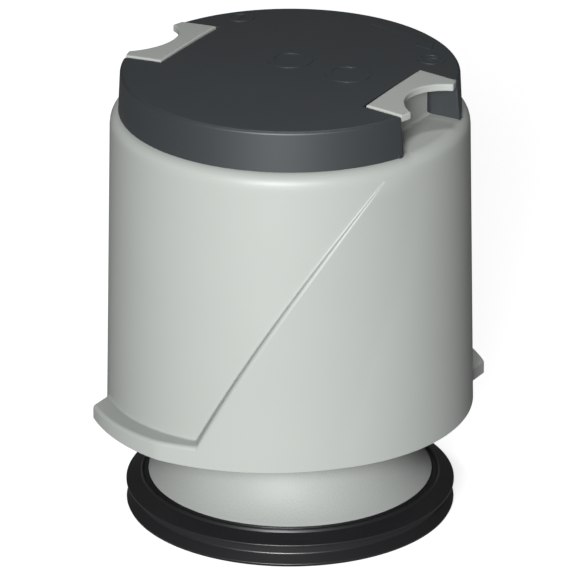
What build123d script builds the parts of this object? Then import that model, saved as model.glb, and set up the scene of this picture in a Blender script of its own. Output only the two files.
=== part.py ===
from build123d import *
import math
import os

# Bell trap for a floor drain, in millimetres.
# Origin on the trap's axis at the foot of the lip seal, +Z up, the front towards -Y.
# A light bell with a dark cap stands over a standpipe, whose foot carries a rubber lip seal.
# The bell hangs on the standpipe by a bayonet: a turn of its grips lets it lift off.

# Standpipe
pipe_radius = 38.0          # outside of the tube
pipe_wall = 2.2
pipe_top = 97.5             # overflow edge above the base
spigot_radius = 46.0        # outside of the foot, which the seal grips
foot_reach = 1.8            # how far the flared skirt stands out over the spigot
foot_edge = 0.5             # thickness of that edge
flare_angle = 52.0          # tangent of the flare at its foot, from the vertical

# Lip seal
seal_seat = 10.9            # top of the seal groove above the base
seal_fit = 0.1              # between the seal's bore and the spigot
rib_height = 3.3            # top of the retaining rib under the seal
rib_reach = 2.2             # how far that rib stands out of the spigot
lip_reach = 8.9             # upper lip, free, beyond the spigot
lip_height = 7.9            # edge of the upper lip above the base
lip_rise = 1.3              # how far the upper lip's underside rises towards its edge
lower_lip_reach = 8.9
lower_lip_height = 1.0      # edge of the lower lip above the base
lower_lip_lean = 0.5        # the lower lip's foot stands this far back from its edge
root_reach = 6.0            # wall between the two lips, beyond the spigot
root_height = 3.65          # foot of that wall above the base
bead_reach = 4.8            # ridge on top of the seal, beyond the spigot
lip_edge = 0.7              # thickness of a lip's edge

# Bell
rim_level = 37.4            # open rim above the base
bell_height = 103.2         # rim to the flat top
rim_radius = 61.0
shoulder_radius = 59.05     # before its rounding
shoulder_round = 4.6
bell_wall = 2.4

# Wings and ramps, two of each, half a turn apart
wing_reach = 6.8            # beyond the rim
wing_height = 6.6
wing_end = 47.0             # cut plane of a wing's free end, along the grip line
swell = 11.2                # how far the raised skin's centre lies off the axis
swell_sink = 0.25           # the skin dips this far into the wall where it runs out
swell_low = 303.0           # direction in which the skin runs out, at the rim
swell_high = 322.0          # the same at the shoulder
ramp_start = (-30.6, 6.6)   # ramp edge in the front view: across, above the rim
ramp_middle = (2.0, 62.0)
ramp_end = (31.2, 98.0)
edge_round = 0.8
hollow_round = 0.6          # hollow round where wings and ramps meet the bell wall

# Grips and the hub that carries them
grip_angle = -30.5          # direction of the line through both grips
hub_length = 40.5           # from the axis to an end wall's outer face
hub_wall = 2.2
grip_inner = 38.5           # inner edge of a grip plate, along the grip line
grip_half_width = 17.9
grip_thickness = 2.5
grip_proud = 0.4            # grips stand this far above the cap
finger_radius = 16.0        # finger recess in a grip's outer edge
finger_centre = 61.0        # its centre, along the grip line

# Cap
cap_radius = 56.3           # at its foot
cap_top_radius = 55.6
cap_height = 13.5           # foot to upper edge
cap_crown = 2.6             # rise of the top above its edge
cap_wall = 1.8
cap_edge_round = 1.0
notch_gap = 0.4             # between the cap and the bell's grips and hub

# Bayonet between bell and standpipe
turn = 45.0                 # travel from locked to free, in degrees
play = 0.3                  # clearance between the bell and the standpipe
fin_thickness = 2.4
fin_bearing = 5.0           # how far the fins reach in over the overflow edge
lug_reach = 4.3             # lug on the standpipe, out from the tube
lug_height = 4.0
lug_drop = 10.0             # top of the lug below the overflow edge
lug_arc = 25.0              # in degrees
hook_height = 3.2
hook_reach = 5.6
hook_over = 2.5             # the hook runs on past the lug, in degrees
hook_fin_angle = 60.0       # place of the first fin that carries a hook
snap_length = 14.0          # snap beads that hold the cap on the hub
snap_radius = 0.8

# Levels and radii that follow
bell_top = rim_level + bell_height
cap_edge_level = bell_top + cap_height
cap_peak = cap_edge_level + cap_crown
ceiling = bell_top - bell_wall
bore_radius = pipe_radius - pipe_wall
foot_radius = spigot_radius + foot_reach
lip_radius = spigot_radius + lip_reach
lower_lip_radius = spigot_radius + lower_lip_reach
seal_root = spigot_radius + root_reach
bead_radius = spigot_radius + bead_reach
wing_radius = rim_radius + wing_reach
fin_radius = pipe_radius + play
grip_line = Rotation(0, 0, grip_angle)


def turned(outline, arc=360.0):
    """A closed outline, radius across and height up, turned about the axis."""
    return revolve(Plane.XZ * make_face(outline), Axis.Z, revolution_arc=arc)


def frustum(low_radius, low, high_radius, high):
    corners = [(0, low), (low_radius, low), (high_radius, high), (0, high)]
    return turned(Polyline(*corners, close=True))


def edges_at(solid, level):
    """Edges of a solid that lie in one horizontal plane."""
    return solid.edges().filter_by_position(Axis.Z, level - 0.01, level + 0.01)


def standpipe():
    # The flare is an arc that starts upright on the tube and ends at the foot's edge.
    lean = math.radians(flare_angle)
    flare_radius = (foot_radius - pipe_radius) / (1 - math.cos(lean))
    foot_level = seal_seat + foot_edge
    flare_top = foot_level + flare_radius * math.sin(lean)
    half = lean / 2
    middle = (
        pipe_radius + flare_radius * (1 - math.cos(half)),
        flare_top - flare_radius * math.sin(half),
    )
    # Inside, an arc about the same centre meets the wall of the spigot.
    inner_radius = flare_radius + pipe_wall
    centre = pipe_radius + flare_radius
    spigot_bore = spigot_radius - pipe_wall
    inner_lean = math.acos((centre - spigot_bore) / inner_radius)
    inner_foot = flare_top - inner_radius * math.sin(inner_lean)
    inner_middle = (
        centre - inner_radius * math.cos(inner_lean / 2),
        flare_top - inner_radius * math.sin(inner_lean / 2),
    )
    rib_low = rib_height - rib_reach
    outside = [
        Polyline((bore_radius, pipe_top), (pipe_radius, pipe_top), (pipe_radius, flare_top)),
        ThreePointArc((pipe_radius, flare_top), middle, (foot_radius, foot_level)),
        Polyline(
            (foot_radius, foot_level),
            (foot_radius, seal_seat),
            (spigot_radius, seal_seat),
            (spigot_radius, rib_height),
            (spigot_radius + rib_reach, rib_height),
            (spigot_radius + rib_reach, rib_low),
            (spigot_radius + rib_reach - rib_low, 0),
            (spigot_bore, 0),
            (spigot_bore, inner_foot),
        ),
        ThreePointArc((spigot_bore, inner_foot), inner_middle, (bore_radius, flare_top)),
        Line((bore_radius, flare_top), (bore_radius, pipe_top)),
    ]
    pipe = turned(outside)
    pipe = fillet(edges_at(pipe, pipe_top), pipe_wall * 0.3)
    # Two lugs stand out of the tube for the bell's hooks.
    lug_top = pipe_top - lug_drop
    root = pipe_radius - pipe_wall / 2
    tip = pipe_radius + lug_reach
    lead = lug_reach / 3
    section = Polyline(
        (root, lug_top - lug_height),
        (tip, lug_top - lug_height),
        (tip, lug_top - lead),
        (tip - lead, lug_top),
        (root, lug_top),
        close=True,
    )
    lug = turned(section, lug_arc)
    for place in (lug_place(), lug_place() + 180):
        pipe += Rotation(0, 0, place) * lug
    return pipe


def fin_arc():
    """Half the angle that a fin covers at the tube, with the clearance beside it."""
    return math.degrees((fin_thickness / 2 + play) / fin_radius)


def lug_place():
    """Where a lug starts: it ends just short of the fin that carries the hook."""
    return hook_fin_angle - fin_arc() - lug_arc


def lip_seal():
    bore = spigot_radius + seal_fit
    rib_room = spigot_radius + rib_reach + seal_fit
    bead_top = seal_seat + 0.3
    valley = bead_radius - 1.0
    corners = [
        (bore, seal_seat),
        (valley, seal_seat),
        (bead_radius, bead_top),
        (lip_radius, lip_height),
        (lip_radius, lip_height - lip_edge),
        (seal_root, lip_height - lip_edge - lip_rise),
        (seal_root, root_height),
        (lower_lip_radius, lower_lip_height),
        (lower_lip_radius - lower_lip_lean, 0),
        (rib_room, 0),
        (rib_room, rib_height),
        (bore, rib_height),
    ]
    small, tip, root = 0.1, 0.3, 0.8
    rounds = [small, small, 0.4, tip, tip, small, root, tip, tip, small, small, small]
    return turned(FilletPolyline(*corners, radius=rounds, close=True))


def swollen(inset):
    """Tapered body about a centre off the axis, which the raised skin is cut from."""
    def disc(level, radius, direction):
        aim = math.radians(direction)
        centre = (-swell * math.cos(aim), -swell * math.sin(aim), level)
        return Plane(origin=centre) * Circle(radius + swell - swell_sink - inset)
    low = disc(rim_level, rim_radius, swell_low)
    high = disc(bell_top, shoulder_radius, swell_high)
    return loft([low, high])


def wing(inset):
    """One wing with the raised skin under its ramp; inset makes the core inside it."""
    # The front view gives the outline: wing, ramp edge, and the line where the skin runs out.
    start = (ramp_start[0] + inset, rim_level + ramp_start[1] - inset)
    middle = (ramp_middle[0] + inset, rim_level + ramp_middle[1] - inset)
    end = (ramp_end[0] + inset, rim_level + ramp_end[1] - inset)
    run_out_low = rim_radius * math.cos(math.radians(swell_low))
    run_out_high = shoulder_radius * math.cos(math.radians(swell_high))
    far = wing_radius + 5
    wing_level = rim_level + wing_height - inset
    outline = [
        Polyline((run_out_low, rim_level), (-far, rim_level), (-far, wing_level), start),
        ThreePointArc(start, middle, end),
        Polyline(end, (run_out_high, end[1]), (run_out_low, rim_level)),
    ]
    front = extrude(Plane.XZ * make_face(outline), far)
    body = front & swollen(inset)
    body &= Pos(0, 0, rim_level) * extrude(Circle(wing_radius - inset), bell_height)
    beyond = Pos(-far - wing_end + inset, 0, bell_top) * Box(2 * far, 4 * far, 3 * bell_height)
    return body - grip_line * beyond


def crown(lift):
    """Ball whose top is the crown of the cap, raised by a lift."""
    radius = (cap_top_radius**2 + cap_crown**2) / (2 * cap_crown)
    return Pos(0, 0, cap_peak + lift - radius) * Sphere(radius)


def under_crown(inset, drop):
    """Tapered block inside the cap's side by an inset, and below its crown by a drop."""
    taper = (cap_radius - cap_top_radius) / cap_height
    high = cap_peak + grip_proud + 1
    high_radius = cap_radius - taper * (high - bell_top)
    return frustum(cap_radius - inset, bell_top, high_radius - inset, high) & crown(-drop)


def grip(side):
    """One grip plate with its finger recess, cut to the crown of the cap."""
    length = cap_top_radius - grip_inner
    plate = Pos(grip_inner + length / 2, 0, cap_peak) * Box(length, 2 * grip_half_width, 2 * cap_height)
    plate &= under_crown(notch_gap, -grip_proud) - crown(grip_proud - grip_thickness)
    plate -= Pos(finger_centre, 0, cap_peak) * Cylinder(finger_radius, 4 * cap_height)
    # A neck on the hub's end wall carries the plate.
    neck = hub_length - grip_inner
    height = 2 * cap_height
    post = Pos(grip_inner + neck / 2, 0, bell_top + height / 2) * Box(neck, 2 * grip_half_width, height)
    plate += post & crown(grip_proud - grip_thickness / 2)
    return Rotation(0, 0, side) * plate


def hub():
    """Box frame on the bell's top that carries both grips and seats the cap."""
    top = cap_peak
    height = top - ceiling
    frame = Pos(0, 0, ceiling + height / 2) * Box(2 * hub_length, 2 * grip_half_width, height)
    frame = fillet(frame.edges().filter_by(Axis.Z), edge_round)
    room = Box(2 * (hub_length - hub_wall), 2 * (grip_half_width - hub_wall), height)
    frame -= Pos(0, 0, bell_top + height / 2) * room
    # Snap beads on both long sides.
    bead = Cylinder(snap_radius, snap_length, rotation=(0, 90, 0))
    for side in (-1, 1):
        frame += Pos(0, side * grip_half_width, snap_level()) * bead
    return frame & crown(-cap_wall - notch_gap)


def snap_level():
    return bell_top + cap_height / 2


def bell():
    shell = frustum(rim_radius, rim_level, shoulder_radius, bell_top)
    shell = fillet(edges_at(shell, bell_top), shoulder_round)
    raised = wing(0)
    raised = fillet(ramp_edges(raised), edge_round)
    for side in (0, 180):
        shell += Rotation(0, 0, side) * raised
    shell = fillet(wing_foot(shell) + ramp_foot(shell), hollow_round)
    cavity = frustum(rim_radius - bell_wall, rim_level, shoulder_radius - bell_wall, ceiling)
    cavity = fillet(edges_at(cavity, ceiling), shoulder_round - bell_wall)
    core = wing(bell_wall)
    for side in (0, 180):
        cavity += Rotation(0, 0, side) * core
    shell -= cavity
    # Grips and hub on top, fins and hooks inside.
    head = hub()
    for side in (0, 180):
        head += grip(side)
    shell += grip_line * head
    for angle in (hook_fin_angle, hook_fin_angle + 180):
        shell += Rotation(0, 0, angle) * fin()
        shell += Rotation(0, 0, angle - stop_spacing()) * fin()
        shell += Rotation(0, 0, angle) * hook()
    return shell


def ramp_edges(body):
    """Outer edges of a wing: along its top, up the ramp and down its free end."""
    outer = rim_radius + swell_sink
    chosen = []
    for edge in body.edges():
        point = edge @ 0.5
        reach = math.hypot(point.X, point.Y)
        on_rim = abs(point.Z - rim_level) < 0.01
        if reach > outer * 0.97 and point.Y < -1 and not on_rim:
            chosen.append(edge)
    return chosen


def wall_radius(level):
    """Outside of the plain bell wall at a level."""
    share = (level - rim_level) / bell_height
    return rim_radius + (shoulder_radius - rim_radius) * share


def wing_foot(shell):
    """Inner edges of both wing tops: along the bell wall, and under the ramp's start."""
    level = rim_level + wing_height
    chosen = []
    for edge in edges_at(shell, level):
        point = edge @ 0.5
        along_wall = math.hypot(point.X, point.Y) < wall_radius(level) + 0.1
        under_ramp = abs(abs(point.X) - abs(ramp_start[0])) < 0.1 and edge.length > edge_round
        if along_wall or under_ramp:
            chosen.append(edge)
    return chosen


def ramp_foot(shell):
    """Inner edges of both ramps, where they climb the bell wall above the wings."""
    chosen = []
    for edge in shell.edges():
        point = edge @ 0.5
        ends = sorted(((edge @ 0).Z, (edge @ 1).Z))
        on_wall = abs(math.hypot(point.X, point.Y) - wall_radius(point.Z)) < 0.3
        climbs = ends[1] - ends[0] > 2 * edge_round
        if on_wall and climbs and ends[0] > rim_level + 1:
            chosen.append(edge)
    return chosen


def stop_spacing():
    """Angle from a hooked fin back to the fin that stops the turn."""
    return turn + lug_arc + 2 * fin_arc()


def fin():
    """Radial fin under the ceiling: it centres the bell and bears on the overflow edge."""
    hook_level = pipe_top - lug_drop - lug_height - play - hook_height
    into_wall = shoulder_radius - bell_wall / 2
    rise = into_wall - fin_radius - hook_reach
    corners = [
        (fin_radius, hook_level),
        (fin_radius + hook_reach, hook_level),
        (into_wall, hook_level + rise),
        (into_wall, ceiling + bell_wall / 2),
        (bore_radius - fin_bearing, ceiling + bell_wall / 2),
        (bore_radius - fin_bearing, pipe_top + play),
        (fin_radius, pipe_top + play),
    ]
    plate = extrude(Plane.XZ * make_face(Polyline(*corners, close=True)), fin_thickness / 2, both=True)
    return plate


def hook():
    """Arc under a lug, on the fin's side that the lug stands at when locked."""
    top = pipe_top - lug_drop - lug_height - play
    section = [
        (fin_radius, top - hook_height),
        (fin_radius + hook_reach, top - hook_height),
        (fin_radius + hook_reach, top),
        (fin_radius, top),
    ]
    arc = fin_arc() + lug_arc + hook_over
    return Rotation(0, 0, -arc) * turned(Polyline(*section, close=True), arc)


def cap():
    shell = fillet(edges_at(under_crown(0, 0), cap_edge_level), cap_edge_round)
    shell -= under_crown(cap_wall, cap_wall)
    # Two long walls cross the cap and clasp the hub.
    inner_face = grip_half_width + notch_gap
    walls = Part()
    for side in (-1, 1):
        place = Pos(0, side * (inner_face + cap_wall / 2), bell_top + cap_height / 2)
        wall = place * Box(2 * cap_radius, cap_wall, 2 * cap_height)
        slot = Pos(0, side * inner_face, snap_level())
        wall -= slot * Box(snap_length + 2 * notch_gap, 2 * cap_wall, 2 * (snap_radius + notch_gap))
        walls += wall
    shell += grip_line * walls & under_crown(cap_wall / 2, cap_wall / 2)
    # The notches let the grips through, and leave the fingers room below them.
    for side in (0, 180):
        reach = 2 * cap_radius
        start = grip_inner - notch_gap
        notch = Pos(start + reach / 2, 0, cap_peak) * Box(reach, 2 * inner_face, 4 * cap_height)
        shell -= grip_line * Rotation(0, 0, side) * notch
    return shell


os.makedirs("parts", exist_ok=True)
export_step(standpipe(), "parts/standpipe.step")
export_step(lip_seal(), "parts/lip_seal.step")
export_step(bell(), "parts/bell.step")
export_step(cap(), "parts/cap.step")
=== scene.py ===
import math

import bmesh
import bpy
from mathutils import Matrix, Vector


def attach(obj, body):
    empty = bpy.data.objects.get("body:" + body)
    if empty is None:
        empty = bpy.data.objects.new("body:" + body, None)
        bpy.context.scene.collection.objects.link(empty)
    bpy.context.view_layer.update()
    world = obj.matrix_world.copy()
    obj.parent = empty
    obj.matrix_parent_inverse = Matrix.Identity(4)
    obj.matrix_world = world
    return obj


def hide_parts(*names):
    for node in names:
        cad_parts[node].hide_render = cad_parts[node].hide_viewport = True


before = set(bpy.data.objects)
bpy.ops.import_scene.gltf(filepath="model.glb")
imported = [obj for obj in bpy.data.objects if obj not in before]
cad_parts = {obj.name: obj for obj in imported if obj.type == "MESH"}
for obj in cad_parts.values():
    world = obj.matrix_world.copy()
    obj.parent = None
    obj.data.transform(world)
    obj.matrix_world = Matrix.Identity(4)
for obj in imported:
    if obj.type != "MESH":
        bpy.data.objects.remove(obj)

# Metres in the scene, millimetres in every mesh until it is finished.
milli = 0.001
# Direction of the line through both grips, in degrees.
gripAngle = -30.5
gripTurn = Matrix.Rotation(math.radians(gripAngle), 4, "Z")
# Faces that meet at more than this many degrees keep a sharp edge between them.
sharpAngle = 32.0
# Distances in millimetres within which points are one, or lie on one line or plane.
slack = {
    "spun": 0.0005, "plane": 0.001, "skin": 0.002, "hub": 0.01, "cap": 0.02, "tip": 0.05,
    "finished": 0.0004, "shortEdge": 0.0002,
}


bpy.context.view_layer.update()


# Outline helpers

def around(radius, azimuth):
    # Point on a circle about the axis, from its azimuth in degrees.
    angle = math.radians(azimuth)
    return radius * math.cos(angle), radius * math.sin(angle)


def arcPoints(centre, radius, start, end, steps):
    # Points on an arc from one angle to another, in degrees, both ends kept.
    points = []
    for step in range(steps + 1):
        x, y = around(radius, start + (end - start) * step / steps)
        points.append((centre[0] + x, centre[1] + y))
    return points


def roundedLine(corners, steps):
    # Closed outline whose corners (across, up, radius) are rounded by arcs.
    points = []
    count = len(corners)
    for index, (x, z, radius) in enumerate(corners):
        here = Vector((x, z))
        before = Vector(corners[index - 1][:2]) - here
        after = Vector(corners[(index + 1) % count][:2]) - here
        opening = before.angle(after)
        before.normalize()
        after.normalize()
        reach = radius / math.tan(opening / 2)
        centre = here + (before + after).normalized() * radius / math.sin(opening / 2)
        first = here + before * reach - centre
        last = here + after * reach - centre
        for step in range(steps + 1):
            share = step / steps
            turn = first.angle_signed(last) * share
            spoke = first.copy()
            spoke.rotate(Matrix.Rotation(-turn, 2))
            points.append(tuple(centre + spoke))
    return points


def threePointArc(first, middle, last):
    # Centre and radius of the circle through three points.
    ax, ay = first
    bx, by = middle
    cx, cy = last
    a = ax**2 + ay**2
    b = bx**2 + by**2
    c = cx**2 + cy**2
    divisor = 2 * (ax * (by - cy) + bx * (cy - ay) + cx * (ay - by))
    x = (a * (by - cy) + b * (cy - ay) + c * (ay - by)) / divisor
    y = (a * (cx - bx) + b * (ax - cx) + c * (bx - ax)) / divisor
    return (x, y), math.hypot(ax - x, ay - y)


def near(value, target, distance):
    return abs(value - target) < distance


# Mesh helpers

def vertsOf(result):
    return [item for item in result["geom"] if isinstance(item, bmesh.types.BMVert)]


def facesOf(result):
    return [item for item in result["geom"] if isinstance(item, bmesh.types.BMFace)]


def spun(points, steps):
    # Closed ring: a closed outline (radius, height) turned once round the axis.
    bm = bmesh.new()
    ring = [bm.verts.new((radius, 0, height)) for radius, height in points]
    edges = [bm.edges.new((ring[i - 1], ring[i])) for i in range(len(ring))]
    bmesh.ops.spin(
        bm, geom=ring + edges, cent=(0, 0, 0), axis=(0, 0, 1),
        angle=2 * math.pi, steps=steps, use_merge=True,
    )
    bmesh.ops.remove_doubles(bm, verts=bm.verts, dist=slack["spun"])
    bmesh.ops.recalc_face_normals(bm, faces=bm.faces)
    return bm


def flatFace(bm, outline):
    # One level face from an outline (x, y).
    return bm.faces.new([bm.verts.new((x, y, 0)) for x, y in outline])


def uprightFace(bm, section, y=0.0):
    # One upright face from a section (across, height).
    return bm.faces.new([bm.verts.new((across, y, height)) for across, height in section])


def sector(section, start, arc, steps):
    # Closed block: a section (radius, height) turned through part of a circle.
    bm = bmesh.new()
    face = uprightFace(bm, section)
    turn = Matrix.Rotation(math.radians(start), 3, "Z")
    bmesh.ops.rotate(bm, verts=bm.verts, cent=(0, 0, 0), matrix=turn)
    bmesh.ops.spin(
        bm, geom=[face], cent=(0, 0, 0), axis=(0, 0, 1),
        angle=math.radians(arc), steps=steps, use_merge=False,
    )
    bmesh.ops.recalc_face_normals(bm, faces=bm.faces)
    return bm


def cutFaces(bm, faces, axis, value):
    # Cuts faces where one coordinate has a value. Faces of a marked band aren't given back.
    place = [0.0, 0.0, 0.0]
    place[axis] = value
    normal = [0.0, 0.0, 0.0]
    normal[axis] = 1.0
    edges = {edge for face in faces for edge in face.edges}
    verts = {vert for face in faces for vert in face.verts}
    result = bmesh.ops.bisect_plane(
        bm, geom=list(faces) + list(edges) + list(verts),
        dist=slack["plane"], plane_co=place, plane_no=normal,
    )
    return {face for face in facesOf(result) if face.material_index == 0}


def gridCut(bm, faces, axis, start, stop, gap):
    # Cuts faces by evenly spaced planes across one axis, and gives back all pieces.
    pieces = set(faces)
    count = round((stop - start) / gap)
    for step in range(count + 1):
        pieces = cutFaces(bm, pieces, axis, start + (stop - start) * step / count)
    return pieces


def borderBand(bm, face, width):
    # Insets a face and marks the band, so that later cuts leave it alone. Gives the inside back.
    band = bmesh.ops.inset_region(bm, faces=[face], thickness=width, use_even_offset=True)
    for item in band["faces"]:
        item.material_index = 1
    return [item for item in bm.faces if item.material_index == 0]


def joined(first, second):
    # Puts the second mesh into the first.
    mesh = bpy.data.meshes.new("part")
    second.to_mesh(mesh)
    second.free()
    first.from_mesh(mesh)
    bpy.data.meshes.remove(mesh)


def toObject(bm, name):
    mesh = bpy.data.meshes.new(name)
    bm.to_mesh(mesh)
    bm.free()
    obj = bpy.data.objects.new(name, mesh)
    bpy.context.scene.collection.objects.link(obj)
    return obj


def bake(obj):
    # The mesh as its modifiers show it takes the place of the plain one.
    graph = bpy.context.evaluated_depsgraph_get()
    mesh = bpy.data.meshes.new_from_object(obj.evaluated_get(graph))
    old = obj.data
    obj.modifiers.clear()
    obj.data = mesh
    bpy.data.meshes.remove(old)


# Rounded edges: every width in the script is at most the widest, and is kept as a share of it.
rounding = {"widest": 2.0, "segments": 4, "profile": 0.5, "layer": "bevel_weight_edge"}


def roundEdge(edge, weights, width):
    edge[weights] = width / rounding["widest"]


def bakeRounds(obj):
    bevel = obj.modifiers.new("edges", "BEVEL")
    bevel.limit_method = "WEIGHT"
    bevel.width = rounding["widest"]
    bevel.segments = rounding["segments"]
    bevel.profile = rounding["profile"]
    bevel.use_clamp_overlap = False
    bevel.miter_outer = "MITER_SHARP"
    bake(obj)


def united(obj, others):
    for other in others:
        union = obj.modifiers.new("union", "BOOLEAN")
        union.operation = "UNION"
        union.solver = "MANIFOLD"
        union.object = other
        bake(obj)
        bpy.data.objects.remove(other, do_unlink=True)


def finished(obj, body, node, material):
    # Scales to metres, shades and hands the piece to its body.
    bm = bmesh.new()
    bm.from_mesh(obj.data)
    bmesh.ops.remove_doubles(bm, verts=bm.verts, dist=slack["finished"])
    bmesh.ops.dissolve_degenerate(bm, edges=bm.edges, dist=slack["shortEdge"])
    bmesh.ops.scale(bm, vec=(milli, milli, milli), verts=bm.verts)
    bm.to_mesh(obj.data)
    loose = sum(1 for edge in bm.edges if len(edge.link_faces) != 2)
    triangles = sum(len(face.verts) - 2 for face in bm.faces)
    bm.free()
    for face in obj.data.polygons:
        face.use_smooth = True
    obj.data.set_sharp_from_angle(angle=math.radians(sharpAngle))
    weighted = obj.modifiers.new("normals", "WEIGHTED_NORMAL")
    weighted.keep_sharp = True
    bake(obj)
    obj.data.materials.clear()
    obj.data.materials.append(material)
    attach(obj, body)
    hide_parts(node)
    print("piece", obj.name, "triangles", triangles, "open or shared edges", loose)


# Surfaces

def addNode(tree, kind, place, inputs=None, **values):
    node = tree.nodes.new(kind)
    node.location = place
    for key, value in values.items():
        setattr(node, key, value)
    for socket, value in (inputs or {}).items():
        node.inputs[socket].default_value = value
    return node


grainSet = {"fineDetail": 3.0, "fineShare": 0.5, "broadSize": 60.0, "broadDetail": 4.0, "average": 0.75}


def grainGroup():
    # Fine speckle of a moulded surface: height for the bump, and how rough it is there.
    tree = bpy.data.node_groups.new("mouldGrain", "ShaderNodeTree")
    for name in ("Size", "Roughness", "Swing"):
        tree.interface.new_socket(name, in_out="INPUT", socket_type="NodeSocketFloat")
    for name in ("Height", "Rough"):
        tree.interface.new_socket(name, in_out="OUTPUT", socket_type="NodeSocketFloat")
    entry = addNode(tree, "NodeGroupInput", (-800, 0))
    leave = addNode(tree, "NodeGroupOutput", (600, 0))
    where = addNode(tree, "ShaderNodeTexCoord", (-800, -300))
    fine = addNode(tree, "ShaderNodeTexNoise", (-500, 0), {"Detail": grainSet["fineDetail"]})
    wide = {"Scale": grainSet["broadSize"], "Detail": grainSet["broadDetail"]}
    broad = addNode(tree, "ShaderNodeTexNoise", (-500, -300), wide)
    share = {1: grainSet["fineShare"]}
    mix = addNode(tree, "ShaderNodeMath", (-200, -200), share, operation="MULTIPLY_ADD")
    middle = {1: grainSet["average"]}
    centred = addNode(tree, "ShaderNodeMath", (0, -200), middle, operation="SUBTRACT")
    spread = addNode(tree, "ShaderNodeMath", (200, -200), operation="MULTIPLY_ADD")
    link = tree.links.new
    link(where.outputs["Object"], fine.inputs["Vector"])
    link(where.outputs["Object"], broad.inputs["Vector"])
    link(entry.outputs["Size"], fine.inputs["Scale"])
    link(fine.outputs["Fac"], mix.inputs[0])
    link(broad.outputs["Fac"], mix.inputs[2])
    link(mix.outputs[0], centred.inputs[0])
    link(centred.outputs[0], spread.inputs[0])
    link(entry.outputs["Swing"], spread.inputs[1])
    link(entry.outputs["Roughness"], spread.inputs[2])
    link(fine.outputs["Fac"], leave.inputs["Height"])
    link(spread.outputs[0], leave.inputs["Rough"])
    return tree


cloudSet = {"size": 35.0, "detail": 5.0, "average": 0.5}


def toneGroup():
    # Slight cloudiness of a coloured plastic.
    tree = bpy.data.node_groups.new("plasticTone", "ShaderNodeTree")
    tree.interface.new_socket("Colour", in_out="INPUT", socket_type="NodeSocketColor")
    tree.interface.new_socket("Depth", in_out="INPUT", socket_type="NodeSocketFloat")
    tree.interface.new_socket("Colour", in_out="OUTPUT", socket_type="NodeSocketColor")
    entry = addNode(tree, "NodeGroupInput", (-800, 0))
    leave = addNode(tree, "NodeGroupOutput", (600, 0))
    where = addNode(tree, "ShaderNodeTexCoord", (-800, -300))
    wide = {"Scale": cloudSet["size"], "Detail": cloudSet["detail"]}
    cloud = addNode(tree, "ShaderNodeTexNoise", (-500, -200), wide)
    middle = {1: cloudSet["average"]}
    level = addNode(tree, "ShaderNodeMath", (-200, -200), middle, operation="SUBTRACT")
    swing = addNode(tree, "ShaderNodeMath", (0, -200), {2: 1.0}, operation="MULTIPLY_ADD")
    blend = addNode(tree, "ShaderNodeVectorMath", (300, 0), operation="SCALE")
    link = tree.links.new
    link(where.outputs["Object"], cloud.inputs["Vector"])
    link(cloud.outputs["Fac"], level.inputs[0])
    link(level.outputs[0], swing.inputs[0])
    link(entry.outputs["Depth"], swing.inputs[1])
    link(entry.outputs["Colour"], blend.inputs[0])
    link(swing.outputs[0], blend.inputs["Scale"])
    link(blend.outputs[0], leave.inputs["Colour"])
    return tree


grain = grainGroup()
tone = toneGroup()
# Share of the light that goes on from one surface to the next: the photo's corners stay dark.
bounceKept = 0.35


def plastic(name, values):
    material = bpy.data.materials.new(name)
    material.use_nodes = True
    tree = material.node_tree
    shader = tree.nodes["Principled BSDF"]
    shader.inputs["IOR"].default_value = values["ior"]
    shader.inputs["Specular IOR Level"].default_value = values["gloss"]
    speckle = {"Size": values["grainSize"], "Roughness": values["roughness"], "Swing": values["swing"]}
    grainNode = addNode(tree, "ShaderNodeGroup", (-600, -200), speckle, node_tree=grain)
    clouding = {"Colour": (*values["colour"], 1), "Depth": values["cloud"]}
    toneNode = addNode(tree, "ShaderNodeGroup", (-600, 200), clouding, node_tree=tone)
    relief = {"Strength": values["bump"], "Distance": values["bumpDepth"]}
    bump = addNode(tree, "ShaderNodeBump", (-300, -300), relief)
    # Light that comes from another matt surface finds a darker colour here: painted shade that keeps corners,
    # recesses and the undersides of parts dark.
    path = addNode(tree, "ShaderNodeLightPath", (-600, 500))
    darker = {1: bounceKept - 1, 2: 1.0}
    keep = addNode(tree, "ShaderNodeMath", (-400, 500), darker, operation="MULTIPLY_ADD")
    dim = addNode(tree, "ShaderNodeVectorMath", (-200, 300), operation="SCALE")
    link = tree.links.new
    link(path.outputs["Is Diffuse Ray"], keep.inputs[0])
    link(toneNode.outputs["Colour"], dim.inputs[0])
    link(keep.outputs[0], dim.inputs["Scale"])
    link(dim.outputs[0], shader.inputs["Base Color"])
    link(grainNode.outputs["Rough"], shader.inputs["Roughness"])
    link(grainNode.outputs["Height"], bump.inputs["Height"])
    link(bump.outputs["Normal"], shader.inputs["Normal"])
    return material


lightGrey = plastic("lightGreyPlastic", {
    "colour": (0.57, 0.60, 0.57), "ior": 1.5, "gloss": 0.85, "roughness": 0.46, "swing": 0.06,
    "grainSize": 2600.0, "cloud": 0.05, "bump": 0.25, "bumpDepth": 0.00003,
})
pipeGrey = plastic("pipeGreyPlastic", {
    "colour": (0.482, 0.508, 0.487), "ior": 1.5, "gloss": 1.0, "roughness": 0.58, "swing": 0.08,
    "grainSize": 1500.0, "cloud": 0.12, "bump": 0.8, "bumpDepth": 0.00012,
})
darkGrey = plastic("darkGreyPlastic", {
    "colour": (0.0365, 0.0442, 0.049), "ior": 1.6, "gloss": 0.8, "roughness": 0.50, "swing": 0.06,
    "grainSize": 2600.0, "cloud": 0.08, "bump": 0.25, "bumpDepth": 0.00003,
})
blackRubber = plastic("blackRubber", {
    "colour": (0.0165, 0.017, 0.0185), "ior": 1.5, "gloss": 1.1, "roughness": 0.36, "swing": 0.05,
    "grainSize": 2200.0, "cloud": 0.1, "bump": 0.25, "bumpDepth": 0.00004,
})

print("stage surfaces done")


# Lip seal

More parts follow.
